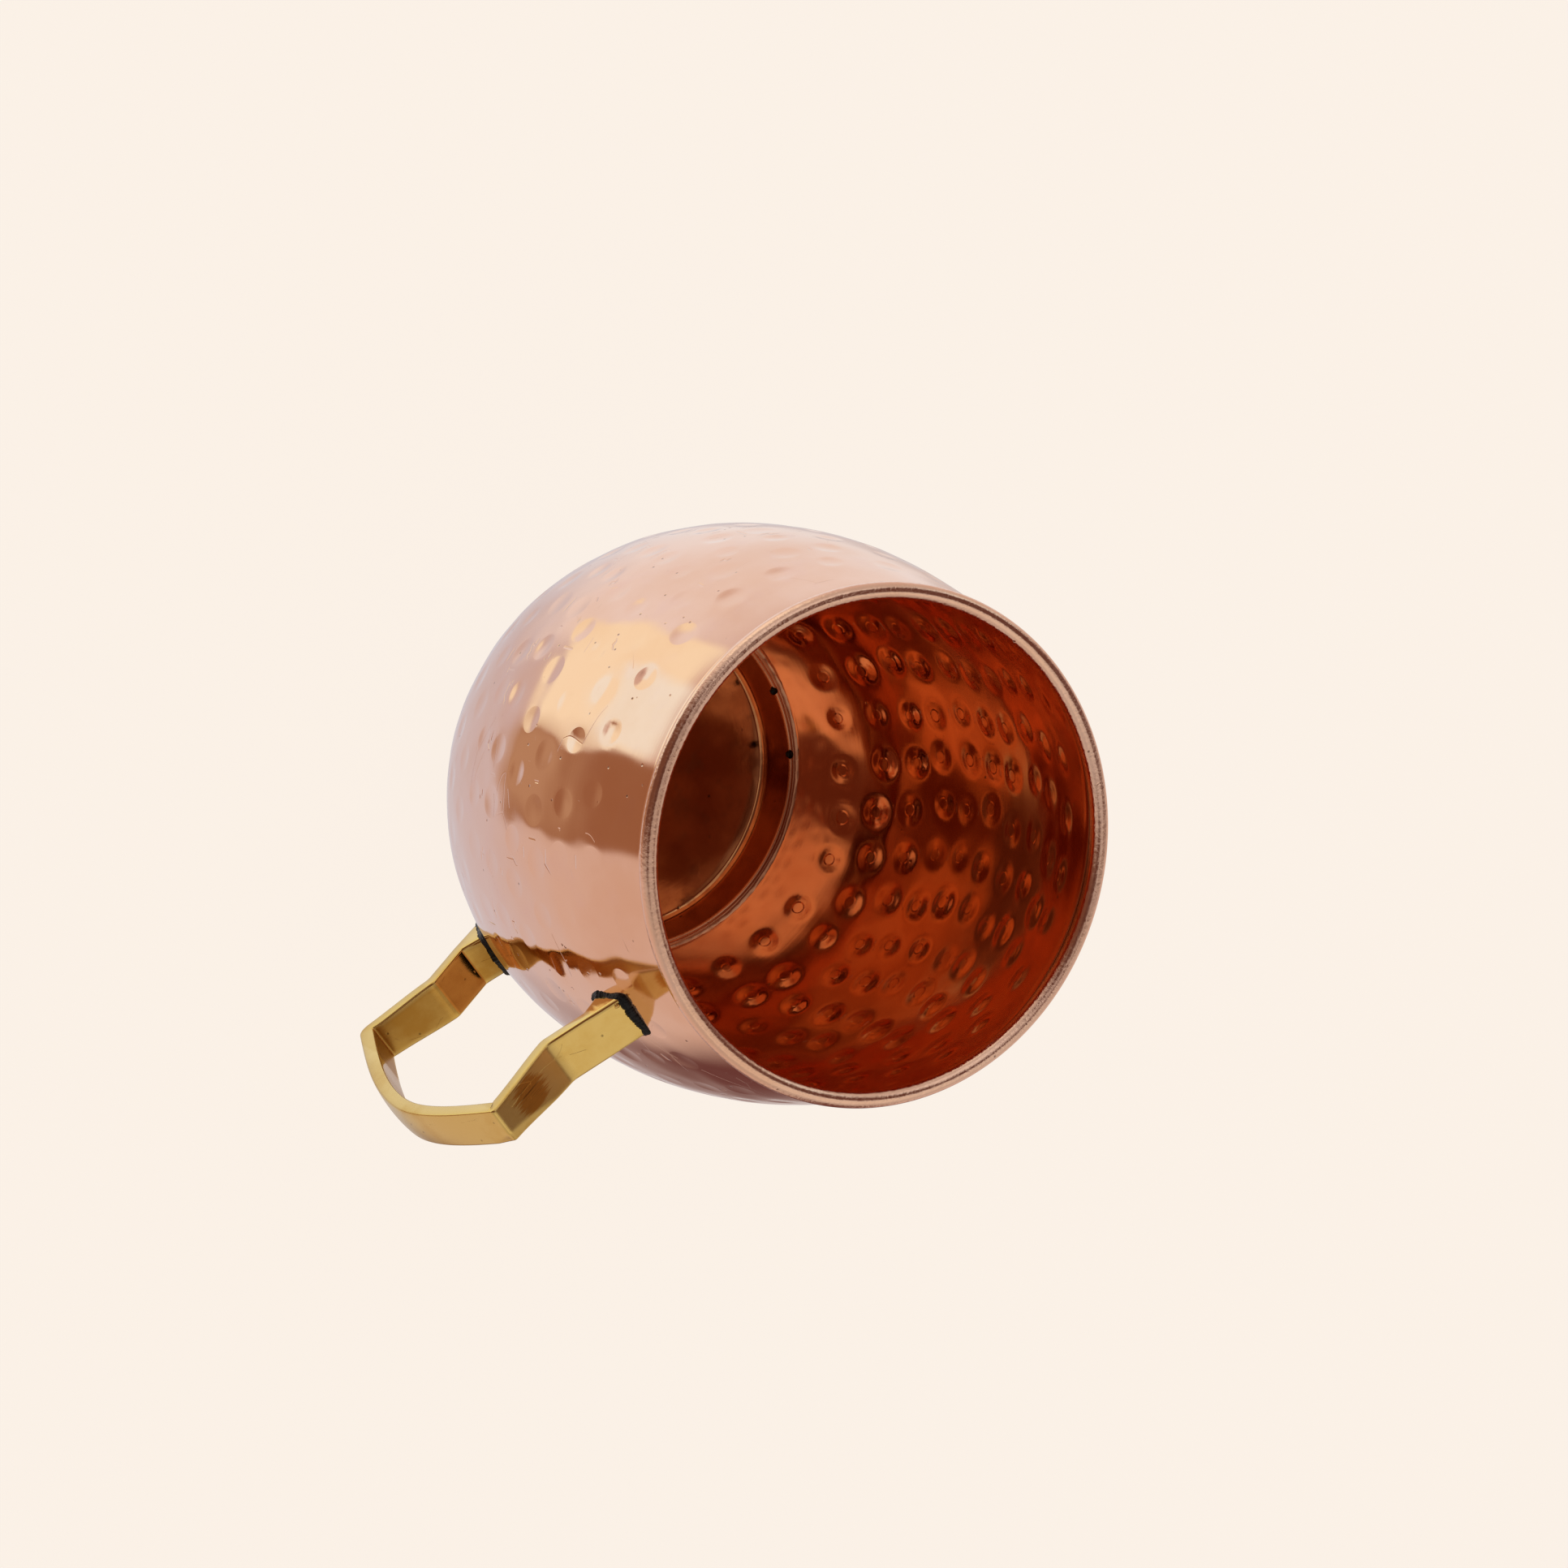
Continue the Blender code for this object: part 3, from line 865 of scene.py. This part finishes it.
def shaded_inner_copper():
    """The copper of the inside, coloured redder and darker than the outside's as painted shade; its
    lines, pits and hammer bosses are real.
    """
    material, tree, shader, place = start_material("shaded_inner_copper", 1.0)
    lines = effect(tree, "brush", stretched(tree, place, 30.0, 30.0, 1800.0), Fineness=1.0)
    pits = effect(tree, "pits", place, Scale=300.0, Size=0.12, Rarity=0.9)
    clouds = effect(tree, "clouds", place, Scale=34.0, Low=0.4, High=0.65)
    place_in_mark = add(tree, "Attribute", attribute_name="mark").outputs["Vector"]
    marks = effect(tree, "mark", place_in_mark, Dish=0.0, Boss=1.0)
    # Painted shade: the inside of the same copper sheet coloured redder and darker than the outside.
    colour = mixed(tree, clouds, (0.87, 0.44, 0.25, 1.0), (0.80, 0.37, 0.20, 1.0))
    colour = mixed(tree, pits, colour, (0.05, 0.02, 0.01, 1.0))
    tree.links.new(colour, shader.inputs["Base Color"])
    rough = height_sum(tree, (lines, 0.06), (clouds, 0.05), (1.0, 0.06))
    tree.links.new(rough, shader.inputs["Roughness"])
    set_relief(tree, shader, height_sum(tree, (lines, 0.12), (pits, -1.0), (marks, 1.1)), 0.00004)
    return material


def base_copper():
    """The cup in the base: spun copper, darker where drink and heat have stained it, with painted
    shade over its wall and lip.
    """
    material, tree, shader, place = start_material("base_copper", 1.0)
    parts = add(tree, "SeparateXYZ", {"Vector": place})
    squares = [math_of(tree, "MULTIPLY", parts.outputs[i], parts.outputs[i]) for i in (0, 1)]
    radius = math_of(tree, "SQRT", math_of(tree, "ADD", *squares))
    turned = add(tree, "CombineXYZ", {0: radius, 1: parts.outputs[2]}).outputs[0]
    rings = stretched(tree, turned, 1400.0, 1400.0, 1.0)
    lines = effect(tree, "brush", rings, Fineness=1.0, Waviness=0.0)
    clouds = effect(tree, "clouds", place, Scale=70.0, Low=0.38, High=0.62)
    stains = effect(tree, "clouds", place, Scale=210.0, Low=0.5, High=0.72)
    pits = effect(tree, "pits", place, Scale=500.0, Size=0.2, Rarity=0.75)
    polish = ramp_between(tree, parts.outputs[2], CUP_HEIGHT - 0.0006, CUP_HEIGHT - 0.0002)
    colour = mixed(tree, clouds, (0.76, 0.36, 0.16, 1.0), (0.52, 0.20, 0.08, 1.0))
    colour = mixed(tree, math_of(tree, "MULTIPLY", stains, 0.6), colour, (0.28, 0.10, 0.05, 1.0))
    colour = mixed(tree, pits, colour, (0.04, 0.02, 0.01, 1.0))
    # Painted shade: all above the floor's corner, the cup's wall and lip, darkened towards deep brown;
    # the lip's top band is mixed back over it after.
    wall = ramp_between(tree, parts.outputs[2], CUP_SHEET, CUP_SHEET + CUP_CORNER)
    colour = mixed(tree, math_of(tree, "MULTIPLY", wall, 0.85), colour, (0.22, 0.07, 0.035, 1.0))
    colour = mixed(tree, polish, colour, (0.62, 0.29, 0.17, 1.0))
    tree.links.new(colour, shader.inputs["Base Color"])
    rough = height_sum(tree, (lines, 0.06), (stains, 0.12), (polish, 0.12), (1.0, 0.08))
    tree.links.new(rough, shader.inputs["Roughness"])
    set_relief(tree, shader, height_sum(tree, (lines, 0.2), (pits, -0.8), (stains, 0.3)), 0.00004)
    return material


def burn_masks(tree, parts, along):
    """Brown heat stain on the upper arm from its bend to its corner, and the dark streaks in it."""
    run = ramp_between(tree, parts["X"], BEND_X, CORNER_X)
    ends = math_of(tree, "ABSOLUTE", math_of(tree, "MULTIPLY_ADD", run, 2.1, -1.05))
    ends = math_of(tree, "POWER", ends, 2.0)
    sides = math_of(tree, "MULTIPLY_ADD", parts["Y"], 2.0 / LOOP_WIDTH, 0.12)
    sides = math_of(tree, "POWER", math_of(tree, "ABSOLUTE", sides), 4.0)
    streaks = effect(tree, "brush", stretched(tree, along, 55.0, 7.0, 1.0), Fineness=1.0, Waviness=1.2)
    ragged = math_of(tree, "MULTIPLY_ADD", streaks, 1.6, math_of(tree, "ADD", ends, sides))
    whole = ramp_between(tree, ragged, 1.32, 1.06)
    level = math_of(tree, "GREATER_THAN", parts["Z"], BODY_HIGH.z / 2)
    whole = math_of(tree, "MULTIPLY", whole, level)
    dark = ramp_between(tree, streaks, 0.54, 0.62)
    dark = math_of(tree, "MULTIPLY", dark, 0.6)
    return math_of(tree, "MULTIPLY", whole, 0.85), math_of(tree, "MULTIPLY", whole, dark)


def inner_face_shade(tree, along, clouds):
    """Painted shade on the strap's inner face, the side that faces the mug: a brown darkening, uneven
    with the clouds.
    """
    around = add(tree, "SeparateXYZ", {"Vector": along}).outputs["X"]
    away = math_of(tree, "ABSOLUTE", math_of(tree, "SUBTRACT", around, INNER_FACE))
    face = ramp_between(tree, away, INNER_FACE_HALF, INNER_FACE_HALF - 0.03)
    uneven = math_of(tree, "MULTIPLY_ADD", clouds, -0.45, 0.90)
    return math_of(tree, "MULTIPLY", face, uneven)


def brass():
    """Polished yellow brass, drawn lengthwise, with small pits and dull patches."""
    material, tree, shader, place = start_material("polished_brass", 1.0)
    along = add(tree, "UVMap", uv_map="OFBake").outputs[0]
    lines = effect(tree, "brush", stretched(tree, along, 260.0, 24.0, 1.0), Fineness=1.0)
    coarse = effect(tree, "brush", stretched(tree, along, 90.0, 10.0, 1.0), Fineness=1.0, Waviness=0.6)
    pits = effect(tree, "pits", place, Scale=520.0, Size=0.16, Rarity=0.8)
    across = stretched(tree, place, 1.0, 2.5, 1.0)
    scratches = effect(tree, "scratches", across, Scale=110.0, Width=0.010, Gaps=0.60)
    clouds = effect(tree, "clouds", place, Scale=90.0, Low=0.42, High=0.68)
    parts = add(tree, "SeparateXYZ", {"Vector": place}).outputs
    satin = ramp_between(tree, parts["X"], CORNER_X, CORNER_X + 0.0025)
    past_bend = ramp_between(tree, parts["X"], BEND_X - 0.0017, BEND_X - 0.0005)
    short_of_corner = ramp_between(tree, parts["X"], CORNER_X, CORNER_X - 0.0006)
    ground = math_of(tree, "MULTIPLY", past_bend, short_of_corner)
    colour = mixed(tree, clouds, (0.80, 0.56, 0.20, 1.0), (0.72, 0.46, 0.13, 1.0))
    burn, dark_streaks = burn_masks(tree, parts, along)
    colour = mixed(tree, burn, colour, (0.56, 0.22, 0.025, 1.0))
    colour = mixed(tree, dark_streaks, colour, (0.09, 0.03, 0.006, 1.0))
    face_shade = inner_face_shade(tree, along, clouds)
    # Painted shade: the strap's inner face darkened to brown.
    colour = mixed(tree, face_shade, colour, (0.42, 0.19, 0.025, 1.0))
    colour = mixed(tree, math_of(tree, "MULTIPLY", pits, 0.8), colour, (0.12, 0.07, 0.02, 1.0))
    tree.links.new(colour, shader.inputs["Base Color"])
    wear = ((lines, 0.05), (clouds, 0.05), (satin, 0.16), (ground, 0.26), (scratches, 0.15))
    rough = height_sum(tree, *wear, (1.0, 0.05))
    tree.links.new(rough, shader.inputs["Roughness"])
    relief = height_sum(tree, (lines, 0.07), (coarse, 0.22), (pits, -0.8), (scratches, -0.3))
    set_relief(tree, shader, relief, 0.00004)
    return material


def burnt(name, dark, pale, gloss):
    """Burnt flux and filler: a lumpy crust, glassy in places."""
    material, tree, shader, place = start_material(name, 0.0)
    shader.inputs["Specular IOR Level"].default_value = 0.18
    clouds = effect(tree, "clouds", place, Scale=420.0, Low=0.45, High=0.7)
    grains = effect(tree, "clouds", place, Scale=1800.0, Low=0.4, High=0.7)
    pits = effect(tree, "pits", place, Scale=1500.0, Size=0.3, Rarity=0.6)
    colour = mixed(tree, clouds, dark, pale)
    tree.links.new(colour, shader.inputs["Base Color"])
    rough = height_sum(tree, (clouds, 0.16), (grains, 0.05), (1.0, gloss))
    tree.links.new(rough, shader.inputs["Roughness"])
    set_relief(tree, shader, height_sum(tree, (grains, 0.3), (clouds, 1.0), (pits, -0.5)), 0.00009)
    return material


def floor_finish():
    """A pale lit surface."""
    material, _, shader, _ = start_material("pale_floor", 0.0)
    shader.inputs["Base Color"].default_value = (0.05, 0.05, 0.05, 1.0)
    shader.inputs["Roughness"].default_value = 1.0
    shader.inputs["Specular IOR Level"].default_value = 0.0
    shader.inputs["Emission Color"].default_value = BACKDROP
    shader.inputs["Emission Strength"].default_value = FLOOR_GLOW
    return material


# Studio


def panel_group():
    """How much of a panel lies in a direction, given its bearing, height and half sizes in degrees."""
    numbers = {"Bearing": 0.0, "Elevation": 0.0, "Width": 10.0, "Height": 10.0, "Softness": 2.0}
    group, given, result = new_group("studio_panel", numbers, "Mask")
    turn = math_of(group, "RADIANS", given["Bearing"])
    faced = add(
        group,
        "VectorRotate",
        {"Vector": given["Vector"], "Angle": math_of(group, "MULTIPLY", turn, -1.0)},
        rotation_type="Z_AXIS",
    )
    parts = add(group, "SeparateXYZ", {"Vector": faced.outputs[0]})
    bearing = math_of(group, "DEGREES", math_of(group, "ARCTAN2", parts.outputs[1], parts.outputs[0]))
    rise = math_of(group, "DEGREES", math_of(group, "ARCSINE", parts.outputs[2]))
    above = math_of(group, "SUBTRACT", rise, given["Elevation"])
    masks = []
    for offset_angle, half in ((bearing, given["Width"]), (above, given["Height"])):
        away = math_of(group, "ABSOLUTE", offset_angle)
        outer = math_of(group, "ADD", half, given["Softness"])
        inner = math_of(group, "SUBTRACT", half, given["Softness"])
        edge = add(
            group,
            "MapRange",
            {"Value": away, "From Min": outer, "From Max": inner},
            interpolation_type="SMOOTHSTEP",
        )
        masks.append(edge.outputs["Result"])
    group.links.new(math_of(group, "MULTIPLY", *masks), result["Mask"])
    return group


GROUPS["panel"] = panel_group()

# Each panel: bearing, elevation, half width, half height, softness and colour
PANELS = [
    (-150.0, -52.0, 50.0, 18.0, 9.0, (0.90, 0.92, 0.92)),
    (-116.0, -6.0, 16.0, 18.0, 5.0, (1.05, 1.02, 0.84)),
    (-84.0, -45.0, 24.0, 14.0, 2.5, (1.02, 1.04, 0.80)),
    (-76.0, -36.0, 14.0, 7.0, 3.0, (0.98, 1.15, 1.08)),
    (-44.0, -42.0, 16.0, 18.0, 1.5, (0.34, 0.17, 0.09)),
    (-46.0, -54.0, 16.0, 10.0, 8.0, (0.50, 0.33, 0.20)),
    (-58.0, 20.0, 27.0, 42.0, 6.0, (0.17, 0.08, 0.05)),
    (76.0, -45.0, 26.0, 14.0, 13.0, (0.15, 0.06, 0.055)),
    (72.0, -14.0, 9.0, 26.0, 4.0, (0.16, 0.07, 0.06)),
    (154.0, 22.0, 11.0, 20.0, 4.0, (0.17, 0.09, 0.08)),
    (179.0, 22.0, 8.0, 10.0, 4.0, (0.85, 0.95, 0.90)),
    (70.0, 50.0, 44.0, 15.0, 8.0, (0.76, 0.70, 0.58)),
    (-140.0, 50.0, 26.0, 15.0, 6.0, (0.80, 0.76, 0.68)),
    (158.0, 56.0, 30.0, 22.0, 7.0, (0.13, 0.06, 0.045)),
    (-58.0, 66.0, 48.0, 22.0, 8.0, (0.12, 0.055, 0.04)),
]


def make_studio():
    world = bpy.data.worlds.new("studio")
    bpy.context.scene.world = world
    world.use_nodes = True
    tree = world.node_tree
    direction = add(tree, "TexCoord").outputs["Generated"]
    rise = add(tree, "SeparateXYZ", {"Vector": direction}).outputs["Z"]
    under = ramp_between(tree, rise, -1.0, -0.70)
    colour = mixed(tree, under, (0.66, 0.65, 0.70, 1.0), (0.70, 0.58, 0.50, 1.0))
    colour = mixed(tree, ramp_between(tree, rise, -0.30, 0.10), colour, (0.60, 0.53, 0.45, 1.0))
    colour = mixed(tree, ramp_between(tree, rise, 0.20, 0.60), colour, (0.52, 0.48, 0.43, 1.0))
    for bearing, elevation, width, height, softness, tint in PANELS:
        mask = effect(
            tree,
            "panel",
            direction,
            Bearing=bearing,
            Elevation=elevation,
            Width=width,
            Height=height,
            Softness=softness,
        )
        colour = mixed(tree, mask, colour, (*tint, 1.0))
    seen = add(tree, "LightPath").outputs["Is Camera Ray"]
    tree.links.new(mixed(tree, seen, colour, BACKDROP), tree.nodes["Background"].inputs["Color"])


def make_floor():
    half = FLOOR_HALF
    mesh = bpy.data.meshes.new("floor")
    corners = [(-half, -half, 0.0), (half, -half, 0.0), (half, half, 0.0), (-half, half, 0.0)]
    mesh.from_pydata(corners, [], [(0, 1, 2, 3)])
    mesh.materials.append(floor_finish())
    floor = bpy.data.objects.new("floor", mesh)
    bpy.context.scene.collection.objects.link(floor)
    floor.visible_glossy = False


def make_camera():
    data = bpy.data.cameras.new("camera")
    data.lens = CAMERA_LENS
    data.sensor_width = 36.0
    camera = bpy.data.objects.new("camera", data)
    bpy.context.scene.collection.objects.link(camera)
    bearing, rise, roll = (math.radians(a) for a in (CAMERA_BEARING, CAMERA_RISE, CAMERA_ROLL))
    tilt = Matrix.Rotation(math.pi / 2 - rise, 4, "X")
    turn = Matrix.Rotation(bearing, 4, "Z") @ tilt @ Matrix.Rotation(roll, 4, "Z")
    back = turn @ Vector((0.0, 0.0, 1.0))
    camera.matrix_world = Matrix.Translation(Vector(CAMERA_AIM) + back * CAMERA_DISTANCE) @ turn
    bpy.context.scene.camera = camera


def main():
    flux = burnt("burnt_flux", (0.004, 0.004, 0.005, 1.0), (0.014, 0.012, 0.015, 1.0), 0.12)
    filler = burnt("base_filler", (0.16, 0.07, 0.035, 1.0), (0.34, 0.16, 0.08, 1.0), 0.35)
    make_body(outer_copper(), shaded_inner_copper())
    cup_copper = base_copper()
    make_cup(cup_copper)
    make_base_braze(filler)
    make_lip_braze(cup_copper)
    metal = brass()
    make_handle(metal)
    make_seam("upper_seam", "upper_braze", 1.0, 0.00052, 0.0006, 1.1, 1.7, flux)
    make_seam("lower_seam", "lower_braze", -1.0, 0.0010, 0.0009, 0.25, 4.2, flux)
    make_drops(flux, metal)
    make_floor()
    make_studio()
    make_camera()
    bpy.context.scene.view_settings.view_transform = "Standard"
    bpy.context.scene.cycles.glossy_bounces = 12


main()
